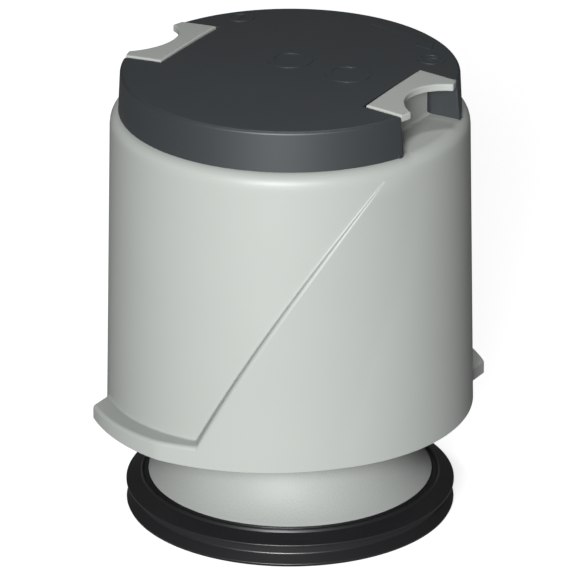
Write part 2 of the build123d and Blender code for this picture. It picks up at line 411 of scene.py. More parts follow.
seal = {
    "bore": 46.1, "seat": 10.9, "valleyInner": 46.75, "valleyOuter": 48.8, "valley": 10.2,
    "beadInner": 49.5, "bead": 50.1, "beadTop": 11.2, "beadFoot": 10.2,
    "lip": 54.9, "lipTop": 7.9, "lipUnder": 7.2, "root": 52.0, "grooveTop": 5.9, "grooveFoot": 3.65,
    "lowerLip": 54.9, "lowerTop": 1.0, "lowerFoot": 54.4, "ribRoom": 48.3, "ribTop": 3.3,
    "seatEdge": 0.05, "hiddenEdge": 0.1, "valleyRound": 0.2, "beadTopRound": 0.25, "beadRound": 0.3,
    "lipRound": 0.3, "underRound": 0.28, "grooveRound": 0.35, "grooveFootRound": 0.8, "footRound": 0.25,
    "cornerSteps": 5, "steps": 288,
}


def lipSeal():
    s = seal
    corners = [
        (s["bore"], s["seat"], s["hiddenEdge"]),
        (s["valleyInner"], s["seat"], s["seatEdge"]),
        (s["valleyInner"], s["valley"], s["valleyRound"]),
        (s["valleyOuter"], s["valley"], s["valleyRound"]),
        (s["beadInner"], s["beadTop"], s["beadTopRound"]),
        (s["bead"], s["beadFoot"], s["beadRound"]),
        (s["lip"], s["lipTop"], s["lipRound"]),
        (s["lip"], s["lipUnder"], s["underRound"]),
        (s["root"], s["grooveTop"], s["grooveRound"]),
        (s["root"], s["grooveFoot"], s["grooveFootRound"]),
        (s["lowerLip"], s["lowerTop"], s["lipRound"]),
        (s["lowerFoot"], 0.0, s["footRound"]),
        (s["ribRoom"], 0.0, s["hiddenEdge"]),
        (s["ribRoom"], s["ribTop"], s["hiddenEdge"]),
        (s["bore"], s["ribTop"], s["hiddenEdge"]),
    ]
    obj = toObject(spun(roundedLine(corners, s["cornerSteps"]), s["steps"]), "LipSeal")
    finished(obj, "base", "lip_seal", blackRubber)


lipSeal()
print("stage seal done")


# Standpipe

pipe = {
    "radius": 38.0, "wall": 2.2, "top": 97.5, "spigot": 46.0, "foot": 47.4, "footEdge": 0.5,
    "flare": 52.0, "seat": 10.9, "ribTop": 3.3, "ribReach": 2.2, "ribRound": 0.2,
    "tipShare": 0.3,  # of the wall, how far its top is rounded, and of that, how deep the cut goes
    "edgeIn": 0.13, "edgeUp": 0.1, "edgeDown": 0.12, "underIn": 0.35, "underUp": 0.15, "underEdge": 0.5,
    "steps": 256, "flareSteps": 24, "innerSteps": 20,
    "lugReach": 4.3, "lugHeight": 4.0, "lugDrop": 10.0, "lugArc": 25.0, "lugStart": 32.75,
    "lugRound": 0.2, "lugSteps": 16,
}


def standpipe():
    p = pipe
    bore = p["radius"] - p["wall"]
    lean = math.radians(p["flare"])
    flareRadius = (p["foot"] - p["radius"]) / (1 - math.cos(lean))
    footLevel = p["seat"] + p["footEdge"]
    flareTop = footLevel + flareRadius * math.sin(lean)
    centre = (p["radius"] + flareRadius, flareTop)
    innerRadius = flareRadius + p["wall"]
    spigotBore = p["spigot"] - p["wall"]
    innerLean = math.degrees(math.acos((centre[0] - spigotBore) / innerRadius))
    ribOut = p["spigot"] + p["ribReach"]
    ribLow = p["ribTop"] - p["ribReach"]
    tip = p["wall"] * p["tipShare"]
    cut = tip * p["tipShare"]
    outline = [(bore, p["top"] - tip), (bore + cut, p["top"] - cut), (bore + tip, p["top"])]
    outline += [(p["radius"] - tip, p["top"]), (p["radius"] - cut, p["top"] - cut)]
    outline += [(p["radius"], p["top"] - tip)]
    outline += arcPoints(centre, flareRadius, 180, 180 + p["flare"], p["flareSteps"])
    # The skirt's edge is rounded a little, and its underside leans in to the seat.
    edge = outline.pop()
    outline += [(edge[0] - p["edgeIn"], edge[1] + p["edgeUp"]), (edge[0], edge[1] - p["edgeDown"])]
    outline += [(p["foot"] - p["underIn"], p["seat"] + p["underUp"])]
    outline += [(p["foot"] - p["underEdge"], p["seat"])]
    # Spigot and its rib, with a lead-in at the foot.
    outline += [(p["spigot"], p["seat"]), (p["spigot"], p["ribTop"])]
    outline += [(ribOut - p["ribRound"], p["ribTop"]), (ribOut, p["ribTop"] - p["ribRound"])]
    outline += [(ribOut, ribLow), (ribOut - ribLow, 0), (spigotBore, 0)]
    outline += arcPoints(centre, innerRadius, 180 + innerLean, 180, p["innerSteps"])
    obj = toObject(spun(outline, p["steps"]), "Standpipe")
    united(obj, [lug(p["lugStart"]), lug(p["lugStart"] + 180)])
    finished(obj, "base", "standpipe", pipeGrey)


def lug(start):
    # A lug of the bayonet, rooted in the pipe's wall. Its top has a lead-in, a third of its reach.
    p = pipe
    root = p["radius"] - p["wall"] / 2
    tip = p["radius"] + p["lugReach"]
    top = p["top"] - p["lugDrop"]
    lead = p["lugReach"] / 3
    low = top - p["lugHeight"]
    section = [
        (root, low), (tip - p["lugRound"], low), (tip, low + p["lugRound"]),
        (tip, top - lead), (tip - lead, top), (root, top),
    ]
    return toObject(sector(section, start, p["lugArc"], p["lugSteps"]), "lug")


standpipe()
print("stage standpipe done")


# Bell: wall, shoulder, wings and ramps

bell = {
    "rim": 37.4, "height": 103.2, "rimRadius": 61.0, "topRadius": 59.05, "round": 4.6, "wall": 2.4,
    "rimSplit": 60.0,  # edges of the rim further out than this are rounded as outer ones
    "wingRadius": 67.8, "wingEnd": 47.0, "wingFall": 2.6,
    "swell": 11.2, "sink": 0.45, "swellLow": 303.5, "swellHigh": 331.0, "swellCurve": 1.5,
    "rampStart": (-30.6, 7.3), "rampMiddle": (1.8, 62.0), "rampEnd": (30.2, 98.0),
    "fade": 4.0, "fadeEnd": 0.08, "columns": 240, "rampRows": 52, "roundRows": 9,
    "skinColumns": 46, "shiftColumns": 22,  # to the right of the ramp: the raised skin, and its shift
    "settleTries": 3,
}
bell["top"] = bell["rim"] + bell["height"]


def wallRadius(level, inset):
    share = (level - bell["rim"]) / bell["height"]
    return bell["rimRadius"] + (bell["topRadius"] - bell["rimRadius"]) * share - inset


def skinRadius(azimuth, level, inset):
    # Raised skin: a tapered round body whose centre lies off the axis, capped at the wings' reach.
    wall = wallRadius(level, inset)
    share = ((level - bell["rim"]) / bell["height"])**bell["swellCurve"]
    runOut = bell["swellLow"] + (bell["swellHigh"] - bell["swellLow"]) * share
    if azimuth > runOut:
        return wall
    low = Vector(around(1, bell["swellLow"]))
    high = Vector(around(1, bell["swellHigh"]))
    centre = (low * (1 - share) + high * share) * -bell["swell"]
    radius = wall + bell["swell"] - bell["sink"]
    along = Vector(around(1, azimuth)).dot(centre)
    reach = along + math.sqrt(along**2 - centre.length_squared + radius**2)
    # The ramp fades out towards its upper end.
    left = (bell["rim"] + bell["rampEnd"][1] - inset - level) / bell["fade"]
    reach = wall + (reach - wall) * min(1, max(bell["fadeEnd"], left))
    return min(max(reach, wall), bell["wingRadius"] - inset)


def rampAcross(inset):
    # The ramp's edge in the front view, an arc: how far across it lies at each level.
    points = []
    for name in ("rampStart", "rampMiddle", "rampEnd"):
        x, rise = bell[name]
        points.append((x + inset, bell["rim"] + rise - inset))
    start, middle, end = points
    centre, radius = threePointArc(start, middle, end)
    side = -1 if centre[0] > start[0] else 1

    def across(level):
        level = min(max(level, start[1]), end[1])
        return centre[0] + side * math.sqrt(radius**2 - (level - centre[1])**2)

    return across, start[1], end[1]


def frontAzimuth(across, radius):
    # Direction of a point on the front side, from how far across it lies.
    return 360 - math.degrees(math.acos(across / radius))


def skinRows(inset, rampLow, rampHigh):
    # Rows of the skin's grid from the rim to the flat top: (radius, level).
    rows = [(wallRadius(bell["rim"], inset), bell["rim"])]
    for step in range(bell["rampRows"] + 1):
        level = rampLow + (rampHigh - rampLow) * step / bell["rampRows"]
        rows.append((wallRadius(level, inset), level))
    top = bell["top"] - inset
    corner = wallRadius(top, inset)
    turnRadius = bell["round"] - inset
    rows += arcPoints((corner - turnRadius, top - turnRadius), turnRadius, 0, 90, bell["roundRows"])
    return rows


def skinGrid(rows, azimuths):
    # The ramp's line, turned once round the axis.
    bm = bmesh.new()
    line = []
    for (radius, level), azimuth in zip(rows, azimuths):
        line.append(bm.verts.new((*around(radius, azimuth), level)))
    edges = [bm.edges.new(pair) for pair in zip(line, line[1:])]
    bmesh.ops.spin(
        bm, geom=line + edges, cent=(0, 0, 0), axis=(0, 0, 1),
        angle=2 * math.pi, steps=bell["columns"], use_merge=True,
    )
    bmesh.ops.remove_doubles(bm, verts=bm.verts, dist=slack["plane"])
    return bm


def bellSkin(inset):
    # One skin of the bell as a grid whose columns follow the ramps; the inset makes the inner skin.
    across, rampLow, rampHigh = rampAcross(inset)
    rows = skinRows(inset, rampLow, rampHigh)
    azimuths = [frontAzimuth(across(level), wallRadius(level, inset)) for radius, level in rows]
    bm = skinGrid(rows, azimuths)
    # Both wings with the skins under their ramps stand out of the wall. Their free ends lie on a line.
    wingLine = bell["wingEnd"] - inset
    innerEnd = 180 + gripAngle + math.degrees(math.acos(wingLine / wallRadius(rampLow, inset)))
    outerEnd = 180 + gripAngle + math.degrees(math.acos(wingLine / (bell["wingRadius"] - inset)))
    skin = {
        "inset": inset, "across": across, "rows": rows, "azimuths": azimuths,
        "innerEnd": innerEnd, "outerEnd": outerEnd,
        "endColumn": round((innerEnd - azimuths[0]) / (360 / bell["columns"])),
    }
    weights = bm.edges.layers.float.new(rounding["layer"])
    for side in (0, 1):
        raiseWing(bm, skin, side, weights)
    # The sides at the rim stay open, so that the wings are hollow.
    level = bell["rim"]
    flat = [face for face in bm.faces if all(near(vert.co.z, level, slack["plane"]) for vert in face.verts)]
    bmesh.ops.delete(bm, geom=flat, context="FACES_ONLY")
    loose = [edge for edge in bm.edges if not edge.link_faces]
    bmesh.ops.delete(bm, geom=loose, context="EDGES")
    bmesh.ops.remove_doubles(bm, verts=bm.verts, dist=slack["skin"])
    bmesh.ops.dissolve_degenerate(bm, edges=bm.edges, dist=slack["plane"])
    # Flat top.
    top = bell["top"] - inset
    topEdges = [
        edge for edge in bm.edges
        if edge.is_boundary and all(near(vert.co.z, top, slack["hub"]) for vert in edge.verts)
    ]
    bmesh.ops.edgeloop_fill(bm, edges=topEdges)
    bmesh.ops.recalc_face_normals(bm, faces=bm.faces)
    upper = max(bm.faces, key=lambda face: face.calc_area())
    if upper.normal.z < 0:
        bmesh.ops.reverse_faces(bm, faces=bm.faces)
    if inset:
        bmesh.ops.reverse_faces(bm, faces=bm.faces)
    return bm


def raiseWing(bm, skin, side, weights):
    # Lifts one wing and the skin under its ramp out of the grid. Side 1 lies half a turn on.
    rows = skin["rows"]
    azimuths = skin["azimuths"]
    endColumn = skin["endColumn"]
    columns = bell["columns"]
    pitch = 360 / columns
    rampLast = bell["rampRows"] + 1

    def rowOf(level):
        return min(range(len(rows)), key=lambda row: abs(rows[row][1] - level))

    def columnOf(point, azimuth):
        turned = math.degrees(math.atan2(point.y, point.x)) - azimuth
        return (turned / pitch - side * columns / 2) % columns

    def signed(column):
        # Columns to the left of the ramp count below zero.
        return column - columns if column > columns / 2 else column

    chosen = []
    for face in bm.faces:
        row = rowOf(min(vert.co.z for vert in face.verts))
        if row >= rampLast:
            continue
        rowAzimuth = (azimuths[row] + azimuths[row + 1]) / 2
        first = endColumn if row == 0 else 0
        if first < signed(columnOf(face.calc_center_median(), rowAzimuth)) < bell["skinColumns"]:
            chosen.append(face)
    result = bmesh.ops.extrude_face_region(bm, geom=chosen)
    raised = set(vertsOf(result))
    bmesh.ops.delete(bm, geom=chosen, context="FACES_ONLY")
    # Row and column of every point.
    spots = {}
    for vert in bm.verts:
        row = rowOf(vert.co.z)
        spots[vert] = (row, signed(round(columnOf(vert.co, azimuths[row]))))
    for vert, (row, column) in spots.items():
        underWing = row <= 1 and endColumn <= column < 0
        if row > rampLast or not (vert in raised or underWing):
            continue
        radius, level = rows[row]
        azimuth = azimuths[row] + column * pitch
        if row <= 1 and column == endColumn:
            azimuth = skin["innerEnd"]
        if row == 1 and column < 0:
            level -= bell["wingFall"] * column / endColumn
        if vert in raised:
            azimuth, radius = raisedPlace(skin, row, column, azimuth, level)
        vert.co = (*around(radius, azimuth + 180 * side), level)
    markEdges(bm, spots, raised, skin, weights)


def raisedPlace(skin, row, column, azimuth, level):
    # The ramp's outer edge lies over its foot as seen from the front, so the skin's columns shift.
    inset = skin["inset"]
    start = skin["azimuths"][row]
    out = start
    for attempt in range(bell["settleTries"]):
        out = frontAzimuth(skin["across"](level), skinRadius(out, level, inset))
    edgeShift = out - start
    if column < 0:
        endShift = skin["outerEnd"] - skin["innerEnd"]
        azimuth += edgeShift + (endShift - edgeShift) * column / skin["endColumn"]
    else:
        azimuth += edgeShift * max(0, 1 - column / bell["shiftColumns"])
    return azimuth, skinRadius(azimuth, level, inset)


# Widths of the bell's rounded edges.
bellRounds = {
    "outer": 1.2, "foot": 0.35, "footGrowth": 0.75, "startLine": 0.9, "wingFoot": 0.8, "wingTop": 1.3,
    "endUpright": 0.9, "endFoot": 1.0, "inside": 0.3, "rimOuter": 0.25, "rimInner": 0.3,
    "hubCorner": 0.8, "hubFoot": 1.1,
    "stepShare": 0.93, "leastStep": 0.05,  # how much of the ramp's step both its roundings may take
}


def markEdges(bm, spots, raised, skin, weights):
    # Each edge of a wing and ramp is told how wide its rounding is.
    endColumn = skin["endColumn"]
    for edge in bm.edges:
        a, b = edge.verts
        rowA, columnA = spots[a]
        rowB, columnB = spots[b]
        low = min(rowA, rowB)
        rises = rowA != rowB
        onTop = rowA == rowB == 1
        onStart = columnA == columnB == 0
        onEnd = columnA == columnB == endColumn
        ramp = onStart and rises and 1 <= low <= bell["rampRows"]
        upright = onEnd and rises and low == 0
        wing = onTop and max(columnA, columnB) <= 0 and min(columnA, columnB) >= endColumn
        kind = None
        if a in raised and b in raised:
            if ramp:
                kind = "outer"
            elif upright:
                kind = "endUpright"
            elif wing:
                kind = "wingTop"
        elif a in raised or b in raised:
            if onTop and onEnd:
                kind = "wingTop"
            elif onTop and onStart:
                kind = "startLine"
        elif ramp:
            kind = "foot"
        elif upright:
            kind = "endFoot"
        elif wing:
            kind = "wingFoot"
        if kind:
            roundEdge(edge, weights, roundWidth(kind, a.co, low, skin))


def roundWidth(kind, point, row, skin):
    # Both roundings of the ramp shrink where its step gets too low for them.
    inset = skin["inset"]
    wide = bellRounds["inside"] if inset else bellRounds[kind]
    if kind not in ("outer", "foot"):
        return wide
    level = skin["rows"][row][1]
    azimuth = math.degrees(math.atan2(point.y, point.x)) % 360
    if azimuth < 180:
        azimuth += 180
    step = skinRadius(azimuth, level, inset) - wallRadius(level, inset)
    share = row / bell["rampRows"]
    foot = bellRounds["foot"] + bellRounds["footGrowth"] * share**2
    if kind == "foot" and not inset:
        wide = foot
    room = bellRounds["stepShare"] * max(step, bellRounds["leastStep"])
    return wide * min(1, room / (bellRounds["outer"] + foot))


# Hub between the grips

hub = {
    "length": 41.8, "wall": 2.2, "halfWidth": 17.85, "neckInner": 38.6,
    "peak": 156.45, "crown": 2.35, "crownRadius": 55.6, "capWall": 1.8, "gap": 0.4, "proud": 0.4,
    "plate": 2.5, "gridReach": 30, "grid": 10,
    "topCorners": 20,  # the bell's flat top has more corners than this, and no other face there has
}


def crownLevel(x, y, lift):
    # Height of the cap's crowned top over a point, raised by a lift.
    radius = (hub["crownRadius"]**2 + hub["crown"]**2) / (2 * hub["crown"])
    return hub["peak"] + lift - radius + math.sqrt(radius**2 - x**2 - y**2)


def addHub(bm, weights):
    # The hub's frame rises from the bell's flat top; its end walls go on up to the grips.
    h = hub
    top = bell["top"]
    close = slack["hub"]
    bmesh.ops.rotate(bm, verts=bm.verts, cent=(0, 0, 0), matrix=gripTurn.inverted().to_3x3())
    flat = set()
    for face in bm.faces:
        if near(face.calc_center_median().z, top, close) and len(face.verts) > h["topCorners"]:
            flat.add(face)
    lines = []
    for value in (h["length"], h["neckInner"], h["length"] - h["wall"]):
        lines += [(0, value), (0, -value)]
    for value in (h["halfWidth"], h["halfWidth"] - h["wall"]):
        lines += [(1, value), (1, -value)]
    for axis, value in lines:
        flat = cutFaces(bm, flat, axis, value)
    flat = gridCut(bm, flat, 0, -h["gridReach"], h["gridReach"], h["grid"])
    frameFaces = []
    for face in flat:
        x, y, z = face.calc_center_median()
        inFrame = abs(x) < h["length"] and abs(y) < h["halfWidth"]
        inRoom = abs(x) < h["length"] - h["wall"] and abs(y) < h["halfWidth"] - h["wall"]
        if inFrame and not inRoom:
            frameFaces.append(face)
    result = bmesh.ops.extrude_face_region(bm, geom=frameFaces)
    bmesh.ops.delete(bm, geom=frameFaces, context="FACES_ONLY")
    for vert in vertsOf(result):
        vert.co.z = crownLevel(vert.co.x, vert.co.y, -h["capWall"] - h["gap"])
    neckFaces = [face for face in facesOf(result) if abs(face.calc_center_median().x) > h["neckInner"]]
    result = bmesh.ops.extrude_face_region(bm, geom=neckFaces)
    bmesh.ops.delete(bm, geom=neckFaces, context="FACES_ONLY")
    for vert in vertsOf(result):
        vert.co.z = crownLevel(vert.co.x, vert.co.y, h["proud"] - h["plate"] / 2)
    for edge in bm.edges:
        a, b = (vert.co for vert in edge.verts)
        onX = near(abs(a.x), h["length"], close) and near(abs(b.x), h["length"], close)
        onY = near(abs(a.y), h["halfWidth"], close) and near(abs(b.y), h["halfWidth"], close)
        upright = near(a.x, b.x, close) and near(a.y, b.y, close)
        if onX and onY and upright and min(a.z, b.z) > top - close:
            roundEdge(edge, weights, bellRounds["hubCorner"])
        level = near(a.z, top, close) and near(b.z, top, close)
        insideX = max(abs(a.x), abs(b.x)) < h["length"] + close
        insideY = max(abs(a.y), abs(b.y)) < h["halfWidth"] + close
        if level and insideX and insideY and (onX or onY):
            roundEdge(edge, weights, bellRounds["hubFoot"])
    bmesh.ops.rotate(bm, verts=bm.verts, cent=(0, 0, 0), matrix=gripTurn.to_3x3())


# Grips

grip = {
    "inner": 38.5, "halfWidth": 17.9, "thickness": 2.5, "outerRadius": 55.1, "skew": 0.5,
    "fingerCentre": 61.3, "fingerRadius": 16.0, "round": 0.5, "tipRound": 0.5,
    "sideSteps": 4, "fingerSteps": 28, "band": 0.8, "grid": 4.0, "gridFrom": 40, "gridTo": 56, "gridHalf": 16,
}


def gripPlate(side):
    # One plate with its finger recess, crowned like the cap.
    g = grip
    cornerAngle = math.degrees(math.asin(g["halfWidth"] / g["outerRadius"]))
    meetX = (g["outerRadius"]**2 + g["fingerCentre"]**2 - g["fingerRadius"]**2) / (2 * g["fingerCentre"])
    meetY = math.sqrt(g["outerRadius"]**2 - meetX**2)
    meetAngle = math.degrees(math.atan2(meetY, meetX))
    fingerAngle = math.degrees(math.atan2(meetY, g["fingerCentre"] - meetX))
    centre = (g["fingerCentre"], 0)
    recess = arcPoints(centre, g["fingerRadius"], 180 + fingerAngle, 180 - fingerAngle, g["fingerSteps"])
    outline = [(g["inner"] + g["skew"], -g["halfWidth"])]
    outline += arcPoints((0, 0), g["outerRadius"], -cornerAngle, -meetAngle, g["sideSteps"])
    outline += recess[1:-1]
    outline += arcPoints((0, 0), g["outerRadius"], meetAngle, cornerAngle, g["sideSteps"])
    outline += [(g["inner"], g["halfWidth"])]
    bm = bmesh.new()
    inside = borderBand(bm, flatFace(bm, outline), g["band"])
    inside = gridCut(bm, inside, 0, g["gridFrom"], g["gridTo"], g["grid"])
    gridCut(bm, inside, 1, -g["gridHalf"], g["gridHalf"], g["grid"])
    weights = bm.edges.layers.float.new(rounding["layer"])
    for vert in bm.verts:
        vert.co.z = crownLevel(vert.co.x, vert.co.y, hub["proud"])
    for edge in bm.edges:
        if edge.is_boundary:
            roundEdge(edge, weights, g["round"])
    result = bmesh.ops.extrude_face_region(bm, geom=bm.faces[:])
    for vert in vertsOf(result):
        vert.co.z -= g["thickness"]
    # Both tips of the recess are rounded too.
    for edge in bm.edges:
        a, b = (vert.co for vert in edge.verts)
        upright = math.hypot(a.x - b.x, a.y - b.y) < slack["plane"]
        if upright and near(a.x, meetX, slack["tip"]) and near(abs(a.y), meetY, slack["tip"]):
            roundEdge(edge, weights, g["tipRound"])
    bmesh.ops.recalc_face_normals(bm, faces=bm.faces)
    turn = gripTurn @ Matrix.Rotation(math.pi * side, 4, "Z")
    bmesh.ops.transform(bm, matrix=turn, verts=bm.verts)
    obj = toObject(bm, "gripPlate")
    bakeRounds(obj)
    return obj


# Bayonet inside the bell

bayonet = {
    "play": 0.3, "fin": 2.4, "bearing": 5.0, "hookHeight": 3.2, "hookReach": 5.6, "hookOver": 2.5,
    "hookSteps": 20, "cornerCut": 2.4, "finAngle": 60.0, "turn": 45.0,
    "short": 0.02,  # the hook's faces stop this far inside the fin's
}


def finArc():
    reach = pipe["radius"] + bayonet["play"]
    return math.degrees((bayonet["fin"] / 2 + bayonet["play"]) / reach)


def finPlate(corners, angle):
    # An upright plate in the middle of a direction from the axis.
    thickness = bayonet["fin"]
    bm = bmesh.new()
    face = uprightFace(bm, corners, -thickness / 2)
    result = bmesh.ops.extrude_face_region(bm, geom=[face])
    bmesh.ops.translate(bm, vec=(0, thickness, 0), verts=vertsOf(result))
    bmesh.ops.recalc_face_normals(bm, faces=bm.faces)
    turn = Matrix.Rotation(math.radians(angle), 3, "Z")
    bmesh.ops.rotate(bm, verts=bm.verts, cent=(0, 0, 0), matrix=turn)
    return toObject(bm, "fin")


def fins():
    # Four radial fins under the ceiling, and the two hooks under the standpipe's lugs.
    b = bayonet
    finRadius = pipe["radius"] + b["play"]
    hookTop = pipe["top"] - pipe["lugDrop"] - pipe["lugHeight"] - b["play"]
    hookLow = hookTop - b["hookHeight"]
    intoCeiling = bell["top"] - bell["wall"] + bell["wall"] / 2
    intoWall = bell["topRadius"] - bell["wall"] / 2
    inner = pipe["radius"] - pipe["wall"] - b["bearing"]
    corners = [
        (finRadius, hookLow),
        (finRadius + b["hookReach"], hookLow),
        (intoWall, hookLow + intoWall - finRadius - b["hookReach"]),
        (intoWall, intoCeiling - b["cornerCut"]),
        (intoWall - b["cornerCut"], intoCeiling),
        (inner, intoCeiling),
        (inner, pipe["top"] + b["play"]),
        (finRadius, pipe["top"] + b["play"]),
    ]
    spacing = b["turn"] + pipe["lugArc"] + 2 * finArc()
    opposite = b["finAngle"] + 180
    pieces = []
    for angle in (b["finAngle"], opposite, b["finAngle"] - spacing, opposite - spacing):
        pieces.append(finPlate(corners, angle))
    # The hook stops a little short of the fin's far face and below its reach, so no faces coincide.
    reach = finRadius + b["hookReach"] - b["short"]
    low = hookLow + b["short"]
    section = [(finRadius, low), (reach, low), (reach, hookTop), (finRadius, hookTop)]
    arc = finArc() + pipe["lugArc"] + b["hookOver"]
    for angle in (b["finAngle"], opposite):
        pieces.append(toObject(sector(section, angle - arc, arc, b["hookSteps"]), "hook"))
    return pieces


def buildBell():
    bm = bellSkin(0.0)
    joined(bm, bellSkin(bell["wall"]))
    weights = bm.edges.layers.float[rounding["layer"]]
    rimEdges = [edge for edge in bm.edges if edge.is_boundary]
    bmesh.ops.bridge_loops(bm, edges=rimEdges)
    for edge in rimEdges:
        reach = min(math.hypot(vert.co.x, vert.co.y) for vert in edge.verts)
        roundEdge(edge, weights, bellRounds["rimOuter" if reach > bell["rimSplit"] else "rimInner"])
    addHub(bm, weights)
    bmesh.ops.recalc_face_normals(bm, faces=bm.faces)
    obj = toObject(bm, "Bell")
    bakeRounds(obj)
    united(obj, [gripPlate(0), gripPlate(1)] + fins())
    finished(obj, "cover", "bell", lightGrey)


buildBell()
print("stage bell done")


# Cap

cap = {
    "foot": 140.6, "radius": 56.3, "topRadius": 55.6, "edgeLevel": 154.1, "wall": 1.8, "edgeRound": 1.0,
    "notchStart": 38.1, "notchHalf": 18.6, "notchRound": 0.28, "farRound": 1.2, "nearRound": 0.4,
    "band": 1.6, "grid": 5.0, "gridHalf": 50, "arcSteps": 84,
    "crossOver": 1.5, "crossThinner": 0.2, "crossLift": 0.05,  # cross walls, against notches, wall and foot
}


def buildCap():
    c = cap
    close = slack["hub"]
    notchAngle = math.degrees(math.asin(c["notchHalf"] / c["topRadius"]))
    outline = [(c["notchStart"], -c["notchHalf"]), (c["notchStart"], c["notchHalf"])]
    outline += arcPoints((0, 0), c["topRadius"], notchAngle, 180 - notchAngle, c["arcSteps"])
    outline += [(-c["notchStart"], c["notchHalf"]), (-c["notchStart"], -c["notchHalf"])]
    outline += arcPoints((0, 0), c["topRadius"], 180 + notchAngle, 360 - notchAngle, c["arcSteps"])
    bm = bmesh.new()
    face = flatFace(bm, outline)
    if face.normal.z < 0:
        face.normal_flip()
    inside = borderBand(bm, face, c["band"])
    inside = gridCut(bm, inside, 0, -c["gridHalf"], c["gridHalf"], c["grid"])
    gridCut(bm, inside, 1, -c["gridHalf"], c["gridHalf"], c["grid"])
    for vert in bm.verts:
        vert.co.z = crownLevel(vert.co.x, vert.co.y, 0)
    # Walls go down from the outline, but not from the notches' inner edges.
    border = []
    for edge in bm.edges:
        across = all(near(abs(vert.co.x), c["notchStart"], close) for vert in edge.verts)
        if edge.is_boundary and not across:
            border.append(edge)
    result = bmesh.ops.extrude_edge_only(bm, edges=border)
    for vert in vertsOf(result):
        x, y, z = vert.co
        onStart = near(abs(x), c["notchStart"], close)
        onSide = near(abs(y), c["notchHalf"], close)
        if onSide and not onStart:
            # All points along a notch's side share one foot, at the cap's outer radius.
            x = math.copysign(math.sqrt(c["radius"]**2 - y**2), x)
        elif not onSide:
            grow = c["radius"] / c["topRadius"]
            x *= grow
            y *= grow
        vert.co = (x, y, c["foot"])
    bmesh.ops.recalc_face_normals(bm, faces=bm.faces)
    peak = max(bm.faces, key=lambda item: item.calc_center_median().z)
    if peak.normal.z < 0:
        bmesh.ops.reverse_faces(bm, faces=bm.faces)
    obj = toObject(bm, "Cap")
    shell = obj.modifiers.new("shell", "SOLIDIFY")
    shell.thickness = c["wall"]
    shell.offset = -1
    shell.use_even_offset = True
    bake(obj)
    roundCap(obj)
    united(obj, crossWalls())
    obj.data.transform(gripTurn)
    united(obj, capMarks())
    finished(obj, "cover", "cap", darkGrey)


def roundCap(obj):
    # Rounds the outer edge of the top, the notches' edges and the corners of their walls.
    c = cap
    close = slack["cap"]
    bm = bmesh.new()
    bm.from_mesh(obj.data)
    layers = bm.edges.layers.float
    weights = layers.get(rounding["layer"]) or layers.new(rounding["layer"])
    for edge in bm.edges:
        ends = [vert.co for vert in edge.verts]
        a, b = ends
        high = all(near(p.z, crownLevel(p.x, p.y, 0), close) for p in ends)
        rim = all(near(math.hypot(p.x, p.y), c["topRadius"], close) for p in ends)
        side = all(near(abs(p.y), c["notchHalf"], close) for p in ends)
        start = all(near(abs(p.x), c["notchStart"], close) for p in ends)
        atWall = all(math.hypot(p.x, p.y) > c["topRadius"] - close for p in ends)
        rises = abs(a.z - b.z) > c["wall"]
        if high and rim:
            roundEdge(edge, weights, c["edgeRound"])
        elif high and (side or start):
            roundEdge(edge, weights, c["notchRound"])
        elif side and atWall and rises:
            roundEdge(edge, weights, c["farRound"] if a.x * a.y > 0 else c["nearRound"])
    bm.to_mesh(obj.data)
    bm.free()
    bakeRounds(obj)


def crossWalls():
    # Two long walls under the cap clasp the hub between the notches.
    c = cap
    length = 2 * (c["notchStart"] + c["crossOver"])
    width = c["wall"] - c["crossThinner"]
    height = c["edgeLevel"] - c["foot"]
    pieces = []
    for side in (-1, 1):
        middle = side * (c["notchHalf"] + c["wall"] / 2)
        bm = bmesh.new()
        bmesh.ops.create_cube(bm, size=1.0)
        bmesh.ops.scale(bm, vec=(length, width, height), verts=bm.verts)
        bmesh.ops.translate(bm, vec=(0, middle, c["foot"] + c["crossLift"] + height / 2), verts=bm.verts)
        bmesh.ops.recalc_face_normals(bm, faces=bm.faces)
        pieces.append(toObject(bm, "crossWall"))
    return pieces


# Marks that stand up from the cap's top: two plain rings, an arc arrow, two ring signs and a tick.
marks = {
    "height": 0.22, "root": 0.6, "circleSteps": 40,
    "rings": [(0.0, 2.4), (18.7, -9.2)], "ringInner": 5.3, "ringOuter": 7.6,
    "signs": [(46.1, 6.9), (-16.5, 45.3)], "signInner": 3.3, "signOuter": 4.75,
    "arrowInner": 47.0, "arrowOuter": 50.0, "tail": 55.5, "neck": 25.5, "arrowSteps": 16,
    "headInner": 45.4, "headOuter": 52.6, "tip": (49.0, 18.4),
    # Bars in the signs, and the tick: place, length, width and turn in degrees.
    "bars": [
        (46.6, 7.9, 2.6, 0.8, 8.0), (45.5, 5.7, 2.2, 0.8, 20.0),
        (-16.5, 45.3, 5.0, 0.9, 55.0), (20.6, 45.9, 1.8, 0.8, 40.0),
    ],
}


def raisedMark(bm):
    # Flat faces become a thin block whose top follows the crown, a little above it.
    for vert in bm.verts:
        vert.co.z = crownLevel(vert.co.x, vert.co.y, -marks["root"])
    result = bmesh.ops.extrude_face_region(bm, geom=bm.faces[:])
    rise = marks["height"] + marks["root"]
    bmesh.ops.translate(bm, vec=(0, 0, rise), verts=vertsOf(result))
    bmesh.ops.recalc_face_normals(bm, faces=bm.faces)
    return toObject(bm, "mark")


def ringMark(centre, inner, outer):
    bm = bmesh.new()
    place = Matrix.Translation((centre[0], centre[1], 0))
    for radius in (inner, outer):
        bmesh.ops.create_circle(bm, segments=marks["circleSteps"], radius=radius, matrix=place)
    bmesh.ops.bridge_loops(bm, edges=bm.edges[:])
    return raisedMark(bm)


